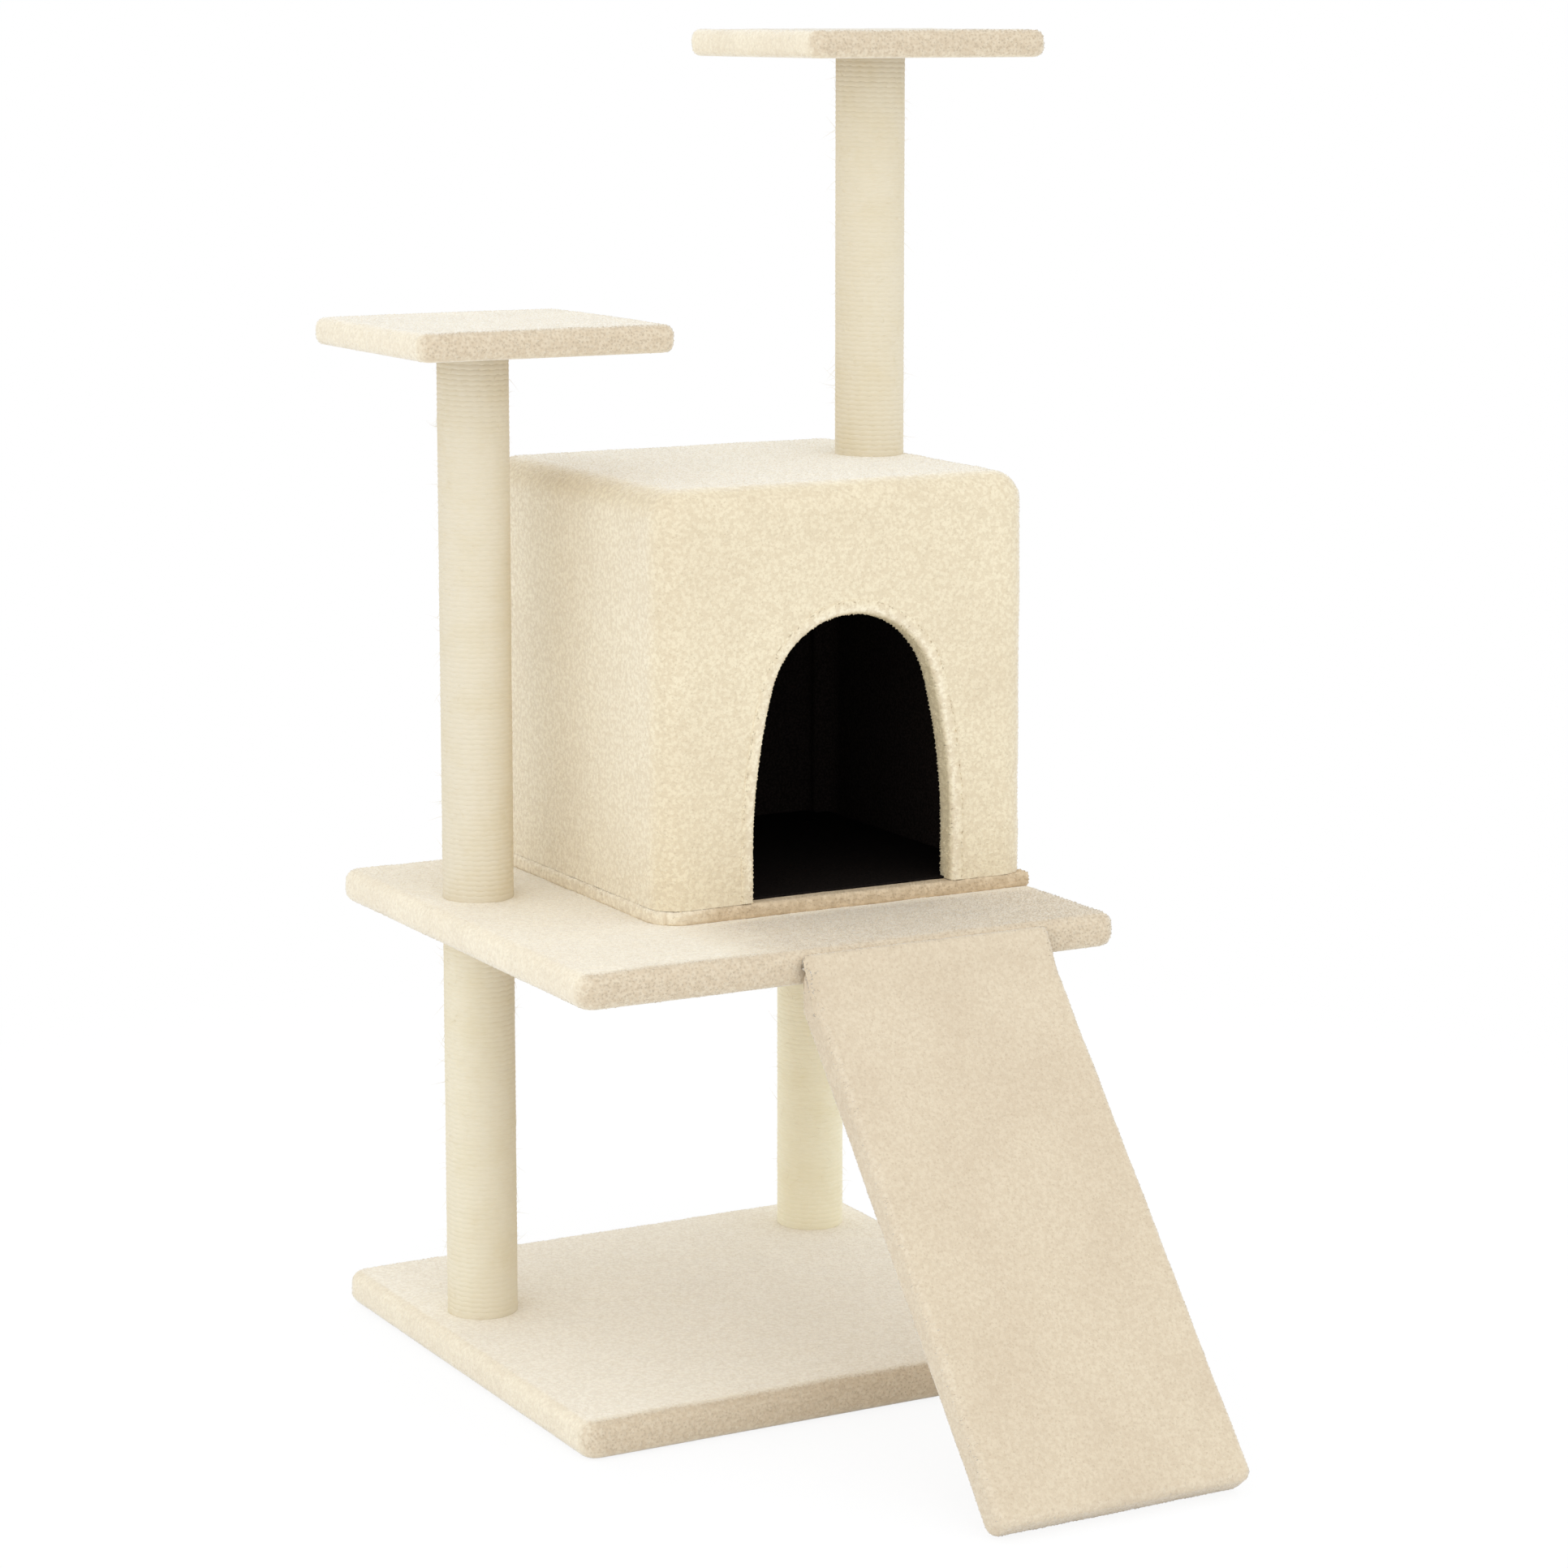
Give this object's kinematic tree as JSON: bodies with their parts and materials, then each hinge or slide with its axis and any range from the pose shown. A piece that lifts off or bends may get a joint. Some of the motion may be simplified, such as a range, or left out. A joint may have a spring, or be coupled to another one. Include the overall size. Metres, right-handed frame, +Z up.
{
  "type": "cat tree",
  "caption": "Free-standing cat tree: plush base and shelf on sisal posts, a plush house with an arched doorway, lookout perches on posts and a hinged plush ramp.",
  "frame": {"origin": "middle of the base's underside, on the floor", "axes": "+X right along the front, +Y to the back, +Z up; the ramp comes out to the front, along -Y"},
  "size_m": [0.69, 0.9223, 1.3],
  "materials": {
    "plush": "short cream plush pile, matte",
    "carpet": "low cream carpet, matte",
    "sisal": "pale natural sisal rope, wound",
    "lining": "black felt",
    "panel_board": "raw particle board",
    "plug_wood": "sawn softwood",
    "cardboard": "wound paper tube, matte",
    "hinge_steel": "nickel plated, satin",
    "zinc_steel": "zinc plated"
  },
  "bodies": {
    "frame": {"base_bolts": "zinc_steel", "base_cover": "plush", "base_panel": "panel_board", "base_washers": "zinc_steel", "cleat_core": "plug_wood", "cleat_cover": "plush", "cleat_screws": "zinc_steel", "door_trim": "plush", "hinge_pins": "hinge_steel", "hinge_shelf_leaves": "hinge_steel", "hinge_shelf_screws": "hinge_steel", "house_back": "panel_board", "house_corner_battens": "plug_wood", "house_cover": "plush", "house_floor_carpet": "carpet", "house_floor_panel": "panel_board", "house_floor_screws": "zinc_steel", "house_front": "panel_board", "house_left": "panel_board", "house_lining": "lining", "house_right": "panel_board", "house_roof": "panel_board", "left_perch_cover": "plush", "left_perch_insert": "zinc_steel", "left_perch_panel": "panel_board", "left_perch_stud": "zinc_steel", "lower_left_post_plugs": "plug_wood", "lower_left_post_sisal": "sisal", "lower_left_post_tube": "cardboard", "lower_right_post_plugs": "plug_wood", "lower_right_post_sisal": "sisal", "lower_right_post_tube": "cardboard", "post_tee_nuts": "zinc_steel", "roof_bolt": "zinc_steel", "roof_bolt_washer": "zinc_steel", "shelf_bolt": "zinc_steel", "shelf_bolt_washer": "zinc_steel", "shelf_cover": "plush", "shelf_panel": "panel_board", "shelf_stud": "zinc_steel", "top_perch_cover": "plush", "top_perch_insert": "zinc_steel", "top_perch_panel": "panel_board", "top_perch_stud": "zinc_steel", "top_post_plugs": "plug_wood", "top_post_sisal": "sisal", "top_post_tube": "cardboard", "upper_left_post_plugs": "plug_wood", "upper_left_post_sisal": "sisal", "upper_left_post_tube": "cardboard"},
    "ramp": {"ramp_panel": "panel_board", "ramp_cover": "plush", "hinge_ramp_leaves": "hinge_steel", "hinge_ramp_screws": "hinge_steel"}
  },
  "joints": [
    {"name": "ramp_hinge", "type": "hinge", "parent": "frame", "child": "ramp", "pos_m": [0.07, -0.2856, 0.446], "axis": [-1, 0, 0], "range_deg": [0, 135]}
  ]
}
